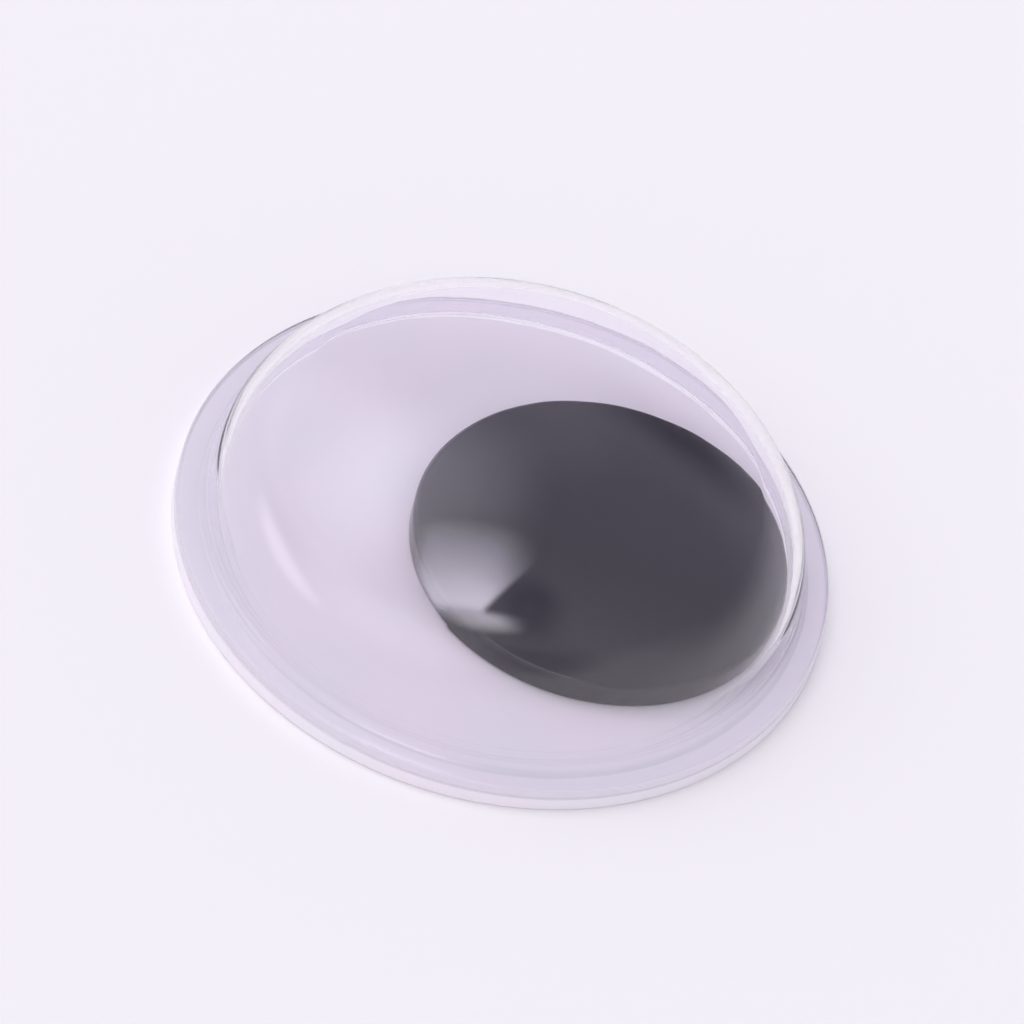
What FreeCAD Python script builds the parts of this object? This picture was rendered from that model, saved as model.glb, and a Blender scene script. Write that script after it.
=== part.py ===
import FreeCAD, Part
import math
import os

# Googly eye: a clear formed dome sealed to a white disc, with a loose black pupil in the chamber
# Millimetres, +Z up through the crown; the origin is the centre of the flat underside
# The pupil lies on the disc against the chamber's wall, on the +X side

# Overall sizes
EYE_DIAMETER = 15.0
TOTAL_HEIGHT = 4.2

# White disc
BACKING_THICKNESS = 0.4

# Clear dome, one sheet of even thickness; radii and widths are those of its outer face
SHELL_THICKNESS = 0.25
FLANGE_WIDTH = 0.6
FOOT_BEND_RADIUS = 0.15
WALL_HEIGHT = 0.8
WALL_DRAFT_DEG = 10.0
SHOULDER_RADIUS = 2.2

# Broken edge that the punch leaves on the rim, on the flange's top and under the disc
RIM_CHAMFER = 0.06

# Black pupil, a punched disc whose upper edge is rolled
PUPIL_DIAMETER = 8.7
PUPIL_THICKNESS = 0.6
PUPIL_EDGE_RADIUS = 0.12
PUPIL_CHAMFER = 0.08

# Gap between the pupil's edge and the chamber's wall, which it slides along
PUPIL_CLEARANCE = 0.05

# Derived sizes
EYE_RADIUS = EYE_DIAMETER / 2
PUPIL_RADIUS = PUPIL_DIAMETER / 2
FLANGE_TOP = BACKING_THICKNESS + SHELL_THICKNESS
PUPIL_TOP = BACKING_THICKNESS + PUPIL_THICKNESS
DRAFT = math.radians(WALL_DRAFT_DEG)

# In the half section, a direction up the outer face of the wall and its normal out of the dome
WALL_UP = (-math.sin(DRAFT), math.cos(DRAFT))
WALL_OUT = (math.cos(DRAFT), math.sin(DRAFT))

# Where the line of the wall would meet the flange's top, without the bend
WALL_FOOT = (EYE_RADIUS - FLANGE_WIDTH, FLANGE_TOP)

# Where the wall ends and the shoulder begins
WALL_TOP = (WALL_FOOT[0] - WALL_HEIGHT * math.tan(DRAFT), FLANGE_TOP + WALL_HEIGHT)


def unit(x, y):
    """A half-section direction of length 1."""
    length = math.hypot(x, y)
    return (x / length, y / length)


def shifted(point, direction, distance):
    """A half-section point moved along a direction."""
    return (point[0] + direction[0] * distance, point[1] + direction[1] * distance)


def in_section(point):
    """A half-section point (radius, height) as a point of the XZ plane."""
    return FreeCAD.Vector(point[0], 0, point[1])


def line(start, end):
    """A straight edge of a half section."""
    return Part.makeLine(in_section(start), in_section(end))


def arc(centre, radius, start_direction, end_direction):
    """An arc of a half section, of less than half a turn, between two unit directions from its centre."""
    middle = unit(start_direction[0] + end_direction[0], start_direction[1] + end_direction[1])
    points = [shifted(centre, way, radius) for way in (start_direction, middle, end_direction)]
    return Part.Arc(*[in_section(point) for point in points]).toShape()


def revolved(edges):
    """The solid that a closed half section makes, turned about the Z axis."""
    face = Part.Face(Part.Wire(edges))
    return face.revolve(FreeCAD.Vector(0, 0, 0), FreeCAD.Vector(0, 0, 1), 360)


def bend_centre():
    """Centre of the bend between flange and wall, outside the dome."""
    beside = shifted(WALL_FOOT, WALL_OUT, FOOT_BEND_RADIUS)
    rise = FOOT_BEND_RADIUS * (1 - math.sin(DRAFT)) / math.cos(DRAFT)
    return shifted(beside, WALL_UP, rise)


def crown_sphere(shoulder):
    """Centre and radius of the sphere that tops the dome and is tangent to the shoulder's arc."""
    rise = TOTAL_HEIGHT - shoulder[1]
    reach_squared = shoulder[0] ** 2 + rise**2 - SHOULDER_RADIUS**2
    radius = reach_squared / (2 * (rise - SHOULDER_RADIUS))
    return (0, TOTAL_HEIGHT - radius), radius


def formed_face(depth, rim_radius):
    """Edges of the sheet's face at a depth below its outer one, from the rim inwards to the crown."""
    bend = bend_centre()
    bend_radius = FOOT_BEND_RADIUS + depth
    shoulder = shifted(WALL_TOP, WALL_OUT, -SHOULDER_RADIUS)
    shoulder_radius = SHOULDER_RADIUS - depth
    crown, outer_crown_radius = crown_sphere(shoulder)
    crown_radius = outer_crown_radius - depth
    to_shoulder = unit(shoulder[0] - crown[0], shoulder[1] - crown[1])
    down, up, inwards = (0, -1), (0, 1), (-WALL_OUT[0], -WALL_OUT[1])
    return [
        line((rim_radius, FLANGE_TOP - depth), shifted(bend, down, bend_radius)),
        arc(bend, bend_radius, down, inwards),
        line(shifted(bend, inwards, bend_radius), shifted(shoulder, WALL_OUT, shoulder_radius)),
        arc(shoulder, shoulder_radius, WALL_OUT, to_shoulder),
        arc(crown, crown_radius, to_shoulder, up),
    ]


def clear_dome():
    """Formed sheet: flange, bend, drafted wall, round shoulder and shallow crown."""
    outer = formed_face(0, EYE_RADIUS - RIM_CHAMFER)
    rim = [
        line((EYE_RADIUS - RIM_CHAMFER, FLANGE_TOP), (EYE_RADIUS, FLANGE_TOP - RIM_CHAMFER)),
        line((EYE_RADIUS, FLANGE_TOP - RIM_CHAMFER), (EYE_RADIUS, BACKING_THICKNESS)),
    ]
    inner = formed_face(SHELL_THICKNESS, EYE_RADIUS)
    axis = line((0, TOTAL_HEIGHT - SHELL_THICKNESS), (0, TOTAL_HEIGHT))
    return revolved(outer[::-1] + rim + inner + [axis])


def disc(radius, bottom, top, chamfer, edge_radius=0):
    """A punched disc on the Z axis: a broken lower edge, and a rolled upper one if it has a radius."""
    edges = [
        line((0, bottom), (radius - chamfer, bottom)),
        line((radius - chamfer, bottom), (radius, bottom + chamfer)),
        line((radius, bottom + chamfer), (radius, top - edge_radius)),
    ]
    if edge_radius:
        edges.append(arc((radius - edge_radius, top - edge_radius), edge_radius, (1, 0), (0, 1)))
    edges.append(line((radius - edge_radius, top), (0, top)))
    edges.append(line((0, top), (0, bottom)))
    return revolved(edges)


def white_backing():
    """The disc that closes the dome and is glued to the work."""
    return disc(EYE_RADIUS, 0, BACKING_THICKNESS, RIM_CHAMFER)


def pupil_offset():
    """How far the pupil's centre lies from the eye's axis when its top edge rests near the wall."""
    wall_inside = shifted(WALL_FOOT, WALL_OUT, -SHELL_THICKNESS)
    lean = (PUPIL_TOP - PUPIL_EDGE_RADIUS - wall_inside[1]) * math.sin(DRAFT)
    edge_centre = wall_inside[0] - (PUPIL_EDGE_RADIUS + PUPIL_CLEARANCE + lean) / math.cos(DRAFT)
    return edge_centre - (PUPIL_RADIUS - PUPIL_EDGE_RADIUS)


def pupil():
    """The loose disc, flat on the backing."""
    shape = disc(PUPIL_RADIUS, BACKING_THICKNESS, PUPIL_TOP, PUPIL_CHAMFER, PUPIL_EDGE_RADIUS)
    shape.translate(FreeCAD.Vector(pupil_offset(), 0, 0))
    return shape


NODES = {"clear_dome": clear_dome, "white_backing": white_backing, "pupil": pupil}

os.makedirs("parts", exist_ok=True)
for name, build in NODES.items():
    solid = build()
    solid.exportStep(f"parts/{name}.step")
    print(f"{name}: valid {solid.isValid()}, {len(solid.Solids)} solid, {solid.Volume:.3f} mm3")
print(f"pupil offset {pupil_offset():.3f} mm")
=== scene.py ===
import math
import bpy
from mathutils import Matrix, Quaternion, Vector, noise


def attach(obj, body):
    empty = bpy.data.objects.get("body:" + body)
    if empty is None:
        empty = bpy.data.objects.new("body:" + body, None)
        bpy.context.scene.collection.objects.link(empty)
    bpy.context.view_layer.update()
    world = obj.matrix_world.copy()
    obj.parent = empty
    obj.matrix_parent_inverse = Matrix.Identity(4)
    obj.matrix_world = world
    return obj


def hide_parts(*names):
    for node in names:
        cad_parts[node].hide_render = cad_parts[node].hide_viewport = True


# Looks of a googly eye: a clear formed dome on a white disc, with a loose black pupil inside
# Lengths are millimetres up to the meshes and lamps, which turn them into Blender's metres

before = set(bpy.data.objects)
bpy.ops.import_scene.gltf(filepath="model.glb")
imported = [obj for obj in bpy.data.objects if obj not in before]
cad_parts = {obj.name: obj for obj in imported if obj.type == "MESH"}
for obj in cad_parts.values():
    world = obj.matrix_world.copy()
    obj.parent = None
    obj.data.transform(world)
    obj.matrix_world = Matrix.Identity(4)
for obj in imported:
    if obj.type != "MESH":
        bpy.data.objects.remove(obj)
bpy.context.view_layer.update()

MM = 0.001

# How finely a piece is turned, the angle above which an edge stays sharp, and a length that counts as none
SEGMENTS = 256
CREASE_DEG = 40
TINY = 1e-6

# Disc and dome; the rim is a hair inside the nominal one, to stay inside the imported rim's facets
NOMINAL_RADIUS = 7.5
EYE_RADIUS = 7.494
TOTAL_HEIGHT = 4.2
BACKING_THICKNESS = 0.4
SHELL_THICKNESS = 0.25
FLANGE_WIDTH = 0.6
FOOT_BEND_RADIUS = 0.15
WALL_HEIGHT = 0.8
WALL_DRAFT_DEG = 10.0
SHOULDER_RADIUS = 2.2

# The punched rim: rolled on the flange's top and under the disc, with a fine seam between the two
RIM_ROLL = 0.06
SEAM_ROLL = 0.05

# The flange is sealed to the disc: its underside lies this far inside it, from this far inside the rim
SEAL_DEPTH = 0.003
SEAL_INSET = 0.1

# Slow unevenness that forming leaves in the dome: how deep and how wide it is, how high above the flange
# it starts, and the rise over which it comes in
RIPPLE_DEPTH = 0.014
RIPPLE_SIZE = 3.5
RIPPLE_START = 0.2
RIPPLE_RISE = 0.8

# Pupil
PUPIL_RADIUS = 4.347
PUPIL_OFFSET = 2.203
PUPIL_THICKNESS = 0.6
PUPIL_TOP_ROLL = 0.12
PUPIL_LOWER_ROLL = 0.08

# Rings that divide a disc's flat faces, as shares of its radius
FLAT_RINGS = (0.25, 0.5, 0.75, 0.95)

# Where the sheets' skins change, by distance from the axis: the flange's tint, its sealed haze, the rim's
# cut edge and the grey line at the seam, painted shade in the seam with some dirt, which starts and is
# full this far below the disc's top
FLANGE_SKIN = (6.6, 7.0)
SEALED_SKIN = (6.9, 7.05)
CUT_SKIN = (7.4, 7.47)
WELD_SHADE_SKIN = (7.38, 7.46)
WELD_SHADE_DROP = (0.07, 0.02)

# Colours of the clear sheet, its sealed flange and the light through it
CLEAR = (0.98, 0.96, 0.985)
CLEAR_FLANGE = (0.95, 0.955, 0.98)
CLEAR_SHADE = (0.93, 0.925, 0.94)

# Colours of the white sheet, which drifts between two, and of the grey line at its seam, painted shade
# with some dirt
WARM_WHITE = (0.87, 0.81, 0.89)
COOL_WHITE = (0.83, 0.81, 0.875)
WELD_DIRT_AND_SHADE_GREY = (0.56, 0.53, 0.58)

# Colours of the pupil and the dust on it, of the floor, and of the room's light
BLACK = (0.021, 0.018, 0.031)
DUST = (0.3, 0.29, 0.31)
FLOOR = (0.95, 0.945, 0.955)
WARM_LIGHT = (1.0, 0.97, 1.01)
COOL_LIGHT = (1.0, 0.95, 1.11)

# Derived sizes
FLANGE_TOP = BACKING_THICKNESS + SHELL_THICKNESS
WALL_FOOT = NOMINAL_RADIUS - FLANGE_WIDTH

# The camera, by the direction in which the photograph sees the eye
CAMERA_AZIMUTH = -9.5
CAMERA_ELEVATION = 46.0
CAMERA_ROLL = 17.0
CAMERA_LENS = 400.0
CAMERA_DISTANCE = 255.0
CAMERA_TARGET = (0, 0, 1.5)

# Soft patches of the room, brighter or dimmer than the rest: the direction of the middle, how much
# narrower it is along each axis, the radii where it is full and gone, and the light that it adds
ROOM_PATCHES = {
    "sill of the window": ((0.02, 0.008, 1.0), (0.7, 2.6, 1), 0.02, 0.1, 2.3),
    "shade beside the window": ((0.15, 0.09, 0.985), (1, 1, 1), 0.03, 0.15, -0.3),
    "haze behind the window": ((-0.20, 0.48, 0.86), (1.1, 1, 1), 0.08, 0.44, 0.95),
    "glow behind on the left": ((-0.5, 0.5, 0.7), (1.3, 0.8, 0.8), 0.25, 0.55, 0.65),
    "faint glow behind": ((0.10, 0.72, 0.68), (1, 1, 1), 0.05, 0.30, 0.15),
    "dim corner behind on the right": ((0.43, 0.79, 0.44), (0.7, 1, 1.6), 0.0, 0.27, -0.5),
    "dim ceiling in front": ((0.2, -0.33, 0.92), (1, 1, 1), 0.10, 0.42, -0.45),
    "window on the left": ((-0.945, -0.01, 0.30), (1, 1, 2.6), 0.15, 0.5, 1.3),
    "glow in front on the left": ((-0.5, -0.4, 0.77), (1, 1, 1), 0.15, 0.7, 0.55),
}


def direction(degrees):
    """The half-section direction (outwards, up) at an angle above the horizontal."""
    return (math.cos(math.radians(degrees)), math.sin(math.radians(degrees)))


def shifted(point, way, distance):
    """A half-section point (radius, height) moved along a direction."""
    return (point[0] + way[0] * distance, point[1] + way[1] * distance)


def arc(centre, radius, start, end, steps):
    """Points of a half-section arc from one angle to another, both ends included."""
    angles = [start + (end - start) * i / steps for i in range(steps + 1)]
    return [shifted(centre, direction(angle), radius) for angle in angles]


def spaced(start, end, steps):
    """Points on a straight run, without its first one."""
    return [
        tuple(a + (b - a) * i / steps for a, b in zip(start, end))
        for i in range(1, steps + 1)
    ]


def formed_face(depth):
    """Points of the sheet's face at a depth below its outer one, from the flange to the axis."""
    out, up = direction(WALL_DRAFT_DEG), direction(90 + WALL_DRAFT_DEG)
    lean = math.radians(WALL_DRAFT_DEG)
    rise = FOOT_BEND_RADIUS * (1 - math.sin(lean)) / math.cos(lean)
    bend = shifted(shifted((WALL_FOOT, FLANGE_TOP), out, FOOT_BEND_RADIUS), up, rise)
    wall_top = (WALL_FOOT - WALL_HEIGHT * math.tan(lean), FLANGE_TOP + WALL_HEIGHT)
    shoulder = shifted(wall_top, out, -SHOULDER_RADIUS)
    height = TOTAL_HEIGHT - shoulder[1]
    reach = shoulder[0] ** 2 + height**2 - SHOULDER_RADIUS**2
    crown_radius = reach / (2 * (height - SHOULDER_RADIUS))
    crown = (0, TOTAL_HEIGHT - crown_radius)
    tangent = math.degrees(math.atan2(shoulder[1] - crown[1], shoulder[0]))
    foot = arc(bend, FOOT_BEND_RADIUS + depth, -90, WALL_DRAFT_DEG - 180, steps=14)
    over = arc(shoulder, SHOULDER_RADIUS - depth, WALL_DRAFT_DEG, tangent, steps=40)
    top = arc(crown, crown_radius - depth, tangent, 90, steps=36)
    wall = spaced(foot[-1], over[0], steps=6)
    return foot + wall + over[1:] + top[1:-1] + [(0, top[-1][1])]


def lathe(name, section):
    """A closed mesh: a half section that runs from axis to axis, turned about Z."""
    points, faces, rings = [], [], []
    for radius, height in section:
        first = len(points)
        if radius < TINY:
            points.append((0, 0, height))
            rings.append([first] * SEGMENTS)
            continue
        for i in range(SEGMENTS):
            turn = 2 * math.pi * i / SEGMENTS
            points.append((radius * math.cos(turn), radius * math.sin(turn), height))
        rings.append([first + i for i in range(SEGMENTS)])
    for upper, lower in zip(rings, rings[1:]):
        for i in range(SEGMENTS):
            j = (i + 1) % SEGMENTS
            corners = [upper[i], lower[i], lower[j], upper[j]]
            faces.append(list(dict.fromkeys(corners)))
    mesh = bpy.data.meshes.new(name)
    mesh.from_pydata([Vector(point) * MM for point in points], [], faces)
    mesh.validate()
    mesh.shade_smooth()
    mesh.set_sharp_from_angle(angle=math.radians(CREASE_DEG))
    piece = bpy.data.objects.new(name, mesh)
    bpy.context.scene.collection.objects.link(piece)
    return piece


def ripple(mesh):
    """Draws the dome in a little, unevenly, so that it reflects as thin formed sheet does."""
    base = Vector((0, 0, FLANGE_TOP))
    for vertex in mesh.vertices:
        place = vertex.co / MM
        above = min(1.0, max(0.0, (place.z - FLANGE_TOP - RIPPLE_START) / RIPPLE_RISE))
        depth = RIPPLE_DEPTH * above * (0.5 + 0.5 * noise.noise(place / RIPPLE_SIZE))
        vertex.co -= (place - base).normalized() * depth * MM


def dome_shell():
    """The clear sheet: flange, bend, wall, shoulder and crown, with both its faces."""
    outer = formed_face(0)
    inner = [
        (radius, height - SEAL_DEPTH if height < BACKING_THICKNESS + TINY else height)
        for radius, height in formed_face(SHELL_THICKNESS)
    ]
    under = BACKING_THICKNESS - SEAL_DEPTH
    rim = arc((EYE_RADIUS - RIM_ROLL, FLANGE_TOP - RIM_ROLL), RIM_ROLL, 90, 0, steps=6)
    seam = arc((EYE_RADIUS - SEAM_ROLL, BACKING_THICKNESS + SEAM_ROLL), SEAM_ROLL, 0, -70, steps=4)
    section = outer[::-1] + rim + seam + [(EYE_RADIUS - SEAL_INSET, under)] + inner
    piece = lathe("dome_shell", section)
    ripple(piece.data)
    return piece


def disc(name, radius, bottom, top, lower_roll, upper_roll):
    """A punched disc on the Z axis, its two edges rolled."""
    flats = [radius * share for share in FLAT_RINGS]
    upper = arc((radius - upper_roll, top - upper_roll), upper_roll, 90, 0, steps=8)
    lower = arc((radius - lower_roll, bottom + lower_roll), lower_roll, 0, -90, steps=6)
    section = [(0, top)] + [(flat, top) for flat in flats if flat < upper[0][0]]
    section += upper + lower
    section += [(flat, bottom) for flat in reversed(flats) if flat < lower[-1][0]] + [(0, bottom)]
    return lathe(name, section)


def backing_disc():
    """The white sheet that closes the eye."""
    return disc("backing_disc", EYE_RADIUS, 0, BACKING_THICKNESS, RIM_ROLL, SEAM_ROLL)


def pupil_disc():
    """The loose disc, flat on the backing near the wall."""
    top = BACKING_THICKNESS + PUPIL_THICKNESS
    piece = disc("pupil_disc", PUPIL_RADIUS, BACKING_THICKNESS, top, PUPIL_LOWER_ROLL, PUPIL_TOP_ROLL)
    piece.data.transform(Matrix.Translation((PUPIL_OFFSET * MM, 0, 0)))
    return piece


def node(tree, kind, inputs=None, **settings):
    """Adds a shader node; an input given as a socket is linked, anything else is its value."""
    made = tree.nodes.new("ShaderNode" + kind)
    for name, value in settings.items():
        setattr(made, name, value)
    for name, value in (inputs or {}).items():
        if isinstance(value, bpy.types.NodeSocket):
            tree.links.new(value, made.inputs[name])
        else:
            made.inputs[name].default_value = value
    return made


def new_material(name):
    """An empty node material and its tree."""
    material = bpy.data.materials.new(name)
    material.use_nodes = True
    material.node_tree.nodes.clear()
    return material, material.node_tree


def place_in_mm(tree, stretch=(1, 1, 1), turn=0.0):
    """The place on the piece in millimetres, stretched and turned about Z for grain that runs one way."""
    place = node(tree, "TexCoord").outputs["Object"]
    scale = tuple(1000 * factor for factor in stretch)
    turned = node(tree, "Mapping", {"Vector": place, "Rotation": (0, 0, math.radians(turn))})
    return node(tree, "Mapping", {"Vector": turned.outputs[0], "Scale": scale}).outputs[0]


def speckle(tree, place, size, detail=2.0):
    """Noise from 0 to 1 whose blobs are about that many millimetres wide."""
    return node(tree, "TexNoise", {"Vector": place, "Scale": 1 / size, "Detail": detail}).outputs["Fac"]


def remap(tree, value, low, high, to_low, to_high, course="SMOOTHSTEP"):
    """A value carried smoothly, or evenly if told, from one range to another and held at the ends."""
    inputs = {"Value": value, "From Min": low, "From Max": high, "To Min": to_low, "To Max": to_high}
    return node(tree, "MapRange", inputs, interpolation_type=course).outputs[0]


def maths(tree, operation, first, second):
    """Two values put together."""
    made = node(tree, "Math", operation=operation)
    for socket, value in zip(made.inputs, (first, second)):
        if isinstance(value, bpy.types.NodeSocket):
            tree.links.new(value, socket)
        else:
            socket.default_value = value
    return made.outputs[0]


def tint(tree, factor, colour, other):
    """A colour, plain or from a socket, mixed towards another."""
    made = node(tree, "Mix", data_type="RGBA")
    tree.links.new(factor, made.inputs[0])
    if isinstance(colour, bpy.types.NodeSocket):
        tree.links.new(colour, made.inputs[6])
    else:
        made.inputs[6].default_value = (*colour, 1)
    made.inputs[7].default_value = (*other, 1)
    return made.outputs[2]


def bumps(tree, *layers):
    """Bumps laid over each other, each (height, depth in millimetres)."""
    normal = None
    for height, depth in layers:
        inputs = {"Height": height, "Distance": depth * MM, "Strength": 1.0}
        if normal is not None:
            inputs["Normal"] = normal
        normal = node(tree, "Bump", inputs).outputs[0]
    return normal


def scratches(tree, turn, share=0.76):
    """Sparse hairlines, 1 on a line and 0 off it."""
    place = place_in_mm(tree, (0.03, 1, 1), turn)
    lines = speckle(tree, place, 0.05, 0.0)
    return remap(tree, lines, share, share + 0.06, 0.0, 1.0)


def from_axis(tree):
    """How far the place is from the eye's axis, in millimetres."""
    place = node(tree, "VectorMath", {0: place_in_mm(tree), 1: (1, 1, 0)}, operation="MULTIPLY")
    return node(tree, "VectorMath", {0: place.outputs[0]}, operation="LENGTH").outputs["Value"]


def clear_plastic():
    """Thin clear sheet: glossy, faintly uneven, scuffed with use, hazier on the sealed flange and rim."""
    material, tree = new_material("clear_sheet")
    place = place_in_mm(tree)
    radius = from_axis(tree)
    scuffs = remap(tree, speckle(tree, place, 1.6, 3.0), 0.45, 0.75, 0.008, 0.03)
    lines = scratches(tree, 25)
    sealed = remap(tree, radius, *SEALED_SKIN, 0.0, 0.08)
    cut = remap(tree, radius, *CUT_SKIN, 0.0, 0.2)
    rough = maths(tree, "ADD", maths(tree, "ADD", scuffs, sealed), maths(tree, "MULTIPLY", lines, 0.04))
    flange = remap(tree, radius, *FLANGE_SKIN, 0.0, 1.0)
    slow = maths(tree, "MULTIPLY", speckle(tree, place, 2.4, 1.0), 0.012)
    fine = maths(tree, "MULTIPLY", speckle(tree, place, 0.6, 0.0), 0.0006)
    sheet = node(
        tree,
        "BsdfPrincipled",
        {
            "Base Color": tint(tree, flange, CLEAR, CLEAR_FLANGE),
            "Roughness": maths(tree, "ADD", rough, cut),
            "IOR": 1.53,
            "Transmission Weight": 1.0,
            "Normal": bumps(tree, (maths(tree, "ADD", slow, fine), 1.0)),
        },
    )
    path = node(tree, "LightPath").outputs
    clear = node(tree, "BsdfTransparent", {"Color": (*CLEAR_SHADE, 1)}).outputs[0]
    shown = sheet.outputs[0]
    for ray in ("Is Shadow Ray", "Is Diffuse Ray"):
        mixed = node(tree, "MixShader", {0: path[ray], 1: shown, 2: clear})
        shown = mixed.outputs[0]
    node(tree, "OutputMaterial", {"Surface": shown})
    return material


def white_plastic():
    """White sheet with a satin skin: fine grain, slow cloudiness, faint marks, and a grey line at the seam
    that is painted shade with some dirt.
    """
    material, tree = new_material("white_sheet")
    place = place_in_mm(tree)
    cloud = speckle(tree, place, 3.0, 3.0)
    drift = remap(tree, cloud, 0.3, 0.7, 0.0, 1.0)
    white = tint(tree, drift, WARM_WHITE, COOL_WHITE)
    height = node(tree, "SeparateXYZ", {"Vector": place}).outputs["Z"]
    # A grey line just under the disc's top near its rim: painted shade in the seam under the flange, with
    # some dirt
    starts, full = (BACKING_THICKNESS - drop for drop in WELD_SHADE_DROP)
    near_top = remap(tree, height, starts, full, 0.0, 0.6)
    weld_dirt_and_shade = maths(tree, "MULTIPLY", near_top, remap(tree, from_axis(tree), *WELD_SHADE_SKIN, 0.0, 1.0))
    grain = speckle(tree, place, 0.12, 1.0)
    lines = scratches(tree, 70)
    rough = remap(tree, speckle(tree, place, 1.1, 2.0), 0.3, 0.7, 0.34, 0.46)
    sheet = node(
        tree,
        "BsdfPrincipled",
        {
            "Base Color": tint(tree, weld_dirt_and_shade, white, WELD_DIRT_AND_SHADE_GREY),
            "Roughness": maths(tree, "ADD", rough, maths(tree, "MULTIPLY", lines, 0.1)),
            "IOR": 1.53,
            "Subsurface Weight": 0.15,
            "Subsurface Radius": (1.0, 0.95, 1.0),
            "Subsurface Scale": 0.25 * MM,
            "Normal": bumps(tree, (cloud, 0.006), (grain, 0.0016), (lines, -0.001)),
        },
    )
    node(tree, "OutputMaterial", {"Surface": sheet.outputs[0]})
    return material


def black_plastic():
    """Glossy black sheet, rubbed by the dome, with a little pale dust that clings to it."""
    material, tree = new_material("black_sheet")
    place = place_in_mm(tree)
    lines = scratches(tree, 10)
    rubbed = remap(tree, speckle(tree, place, 0.9, 3.0), 0.35, 0.75, 0.15, 0.21)
    dust = remap(tree, speckle(tree, place, 0.05, 0.0), 0.80, 0.86, 0.0, 0.3)
    sheet = node(
        tree,
        "BsdfPrincipled",
        {
            "Base Color": tint(tree, dust, BLACK, DUST),
            "Roughness": maths(tree, "ADD", rubbed, maths(tree, "MULTIPLY", lines, 0.06)),
            "IOR": 1.5,
            "Normal": bumps(tree, (speckle(tree, place, 1.8, 1.0), 0.008), (lines, -0.00015)),
        },
    )
    node(tree, "OutputMaterial", {"Surface": sheet.outputs[0]})
    return material


def floor_material():
    """A pale matt surface that keeps the eye's soft shadow."""
    material, tree = new_material("pale_floor")
    matt = node(tree, "BsdfDiffuse", {"Color": (*FLOOR, 1)})
    node(tree, "OutputMaterial", {"Surface": matt.outputs[0]})
    return material


def make_floor():
    """A wide plain floor just under the disc."""
    half = 2000 * MM
    level = -0.004 * MM
    mesh = bpy.data.meshes.new("floor")
    corners = [(-half, -half, level), (half, -half, level), (half, half, level), (-half, half, level)]
    mesh.from_pydata(corners, [], [(0, 1, 2, 3)])
    mesh.materials.append(floor_material())
    floor = bpy.data.objects.new("floor", mesh)
    bpy.context.scene.collection.objects.link(floor)


def patch(tree, way, centre, narrow, inner, outer, level, course="SMOOTHSTEP"):
    """A soft patch of light round a direction: full inside one radius and gone past another."""
    off = node(tree, "VectorMath", {0: way, 1: centre}, operation="SUBTRACT")
    flat = node(tree, "VectorMath", {0: off.outputs[0], 1: narrow}, operation="MULTIPLY")
    far = node(tree, "VectorMath", {0: flat.outputs[0]}, operation="LENGTH").outputs["Value"]
    return remap(tree, far, inner, outer, level, 0.0, course)


def overhead_window(tree, way, parts):
    """The bright window overhead, feathered at its edges, with a dark wedge cut into its right side."""
    slope = maths(tree, "SUBTRACT", parts["X"], maths(tree, "MULTIPLY", parts["Y"], 0.7))
    wedge = remap(tree, slope, -0.048, -0.016, 0.0, 1.0)
    wedge = maths(tree, "MULTIPLY", wedge, remap(tree, parts["Y"], 0.025, 0.06, 0.0, 1.0))
    slant = maths(tree, "ADD", parts["X"], maths(tree, "MULTIPLY", parts["Y"], 0.5))
    edges = (
        remap(tree, parts["X"], -0.22, -0.15, 0.0, 1.0),
        remap(tree, parts["X"], 0.0, 0.17, 1.0, 0.0),
        remap(tree, parts["Y"], -0.005, 0.065, 0.0, 1.0),
        remap(tree, slant, -0.14, -0.10, 0.0, 1.0),
        remap(tree, wedge, 0.0, 1.0, 1.0, 0.0),
    )
    window = patch(tree, way, (-0.03, 0.07, 0.99), (0.4, 0.84, 0.3), 0.0, 0.25, 5.7, "LINEAR")
    for edge in edges:
        window = maths(tree, "MULTIPLY", window, edge)
    return window


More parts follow.
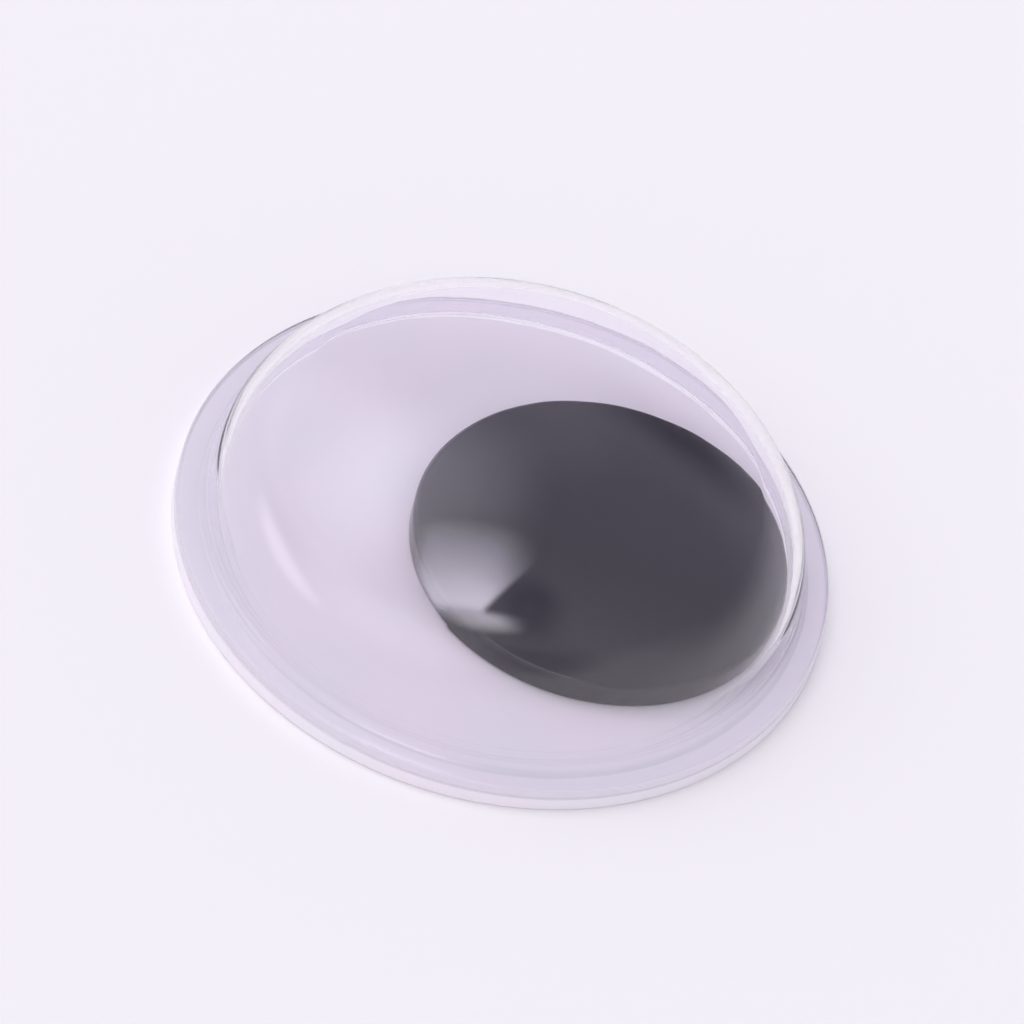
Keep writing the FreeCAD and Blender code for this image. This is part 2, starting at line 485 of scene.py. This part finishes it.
def make_world():
    """A soft pale room, dimmer high up behind the eye, with the window overhead and the other patches."""
    world = bpy.data.worlds.new("room")
    bpy.context.scene.world = world
    world.use_nodes = True
    tree = world.node_tree
    tree.nodes.clear()
    way = node(tree, "TexCoord").outputs["Generated"]
    parts = node(tree, "SeparateXYZ", {"Vector": way}).outputs
    upper = remap(tree, parts["Y"], -0.35, 0.35, 0.80, 0.34)
    room = remap(tree, parts["Z"], 0.12, 0.68, 0.96, upper)
    window = overhead_window(tree, way, parts)
    level = maths(tree, "ADD", room, window)
    for middle, narrow, full, gone, light in ROOM_PATCHES.values():
        level = maths(tree, "ADD", level, patch(tree, way, middle, narrow, full, gone, light))
    behind = remap(tree, parts["Y"], 0.2, 0.6, 0.0, 1.0)
    in_window = remap(tree, window, 0.0, 2.0, 0.0, 1.0)
    cool = maths(tree, "MAXIMUM", behind, in_window)
    colour = tint(tree, cool, WARM_LIGHT, COOL_LIGHT)
    background = node(tree, "Background", {"Color": colour, "Strength": level})
    node(tree, "OutputWorld", {"Surface": background.outputs[0]})


def make_lamp():
    """A small soft key lamp, high on the far left, for the shadow; only the matt light of it shows."""
    size, distance, radiance = 160 * MM, 500 * MM, 2.2
    lamp = bpy.data.lights.new("key", "AREA")
    lamp.size = size
    lamp.energy = math.pi * size**2 * radiance
    holder = bpy.data.objects.new("key", lamp)
    way = Vector((-0.62, 0.30, 0.72)).normalized()
    holder.location = way * distance
    holder.rotation_mode = "QUATERNION"
    holder.rotation_quaternion = way.to_track_quat("Z", "Y")
    holder.visible_camera = False
    holder.visible_glossy = False
    holder.visible_transmission = False
    bpy.context.scene.collection.objects.link(holder)


def make_camera():
    """The main camera, far off on a long lens."""
    camera = bpy.data.objects.new("camera", bpy.data.cameras.new("camera"))
    turn, rise = math.radians(CAMERA_AZIMUTH), math.radians(CAMERA_ELEVATION)
    back = Vector((math.sin(turn) * math.cos(rise), -math.cos(turn) * math.cos(rise), math.sin(rise)))
    camera.location = (Vector(CAMERA_TARGET) + back * CAMERA_DISTANCE) * MM
    roll = Quaternion((0, 0, 1), math.radians(CAMERA_ROLL))
    camera.rotation_mode = "QUATERNION"
    camera.rotation_quaternion = back.to_track_quat("Z", "Y") @ roll
    camera.data.lens = CAMERA_LENS
    camera.data.clip_start = 10 * MM
    camera.data.clip_end = 5000 * MM
    bpy.context.scene.collection.objects.link(camera)
    bpy.context.scene.camera = camera


def finish_piece(piece, body, cad_node, material):
    """Gives a piece its material and hangs it on its body, in place of its CAD node, which is hidden."""
    piece.data.materials.append(material)
    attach(piece, body)
    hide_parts(cad_node)


bpy.context.scene.view_settings.view_transform = "Standard"
finish_piece(backing_disc(), "eye_shell", "white_backing", white_plastic())
finish_piece(pupil_disc(), "loose_pupil", "pupil", black_plastic())
finish_piece(dome_shell(), "eye_shell", "clear_dome", clear_plastic())
make_floor()
make_world()
make_lamp()
make_camera()
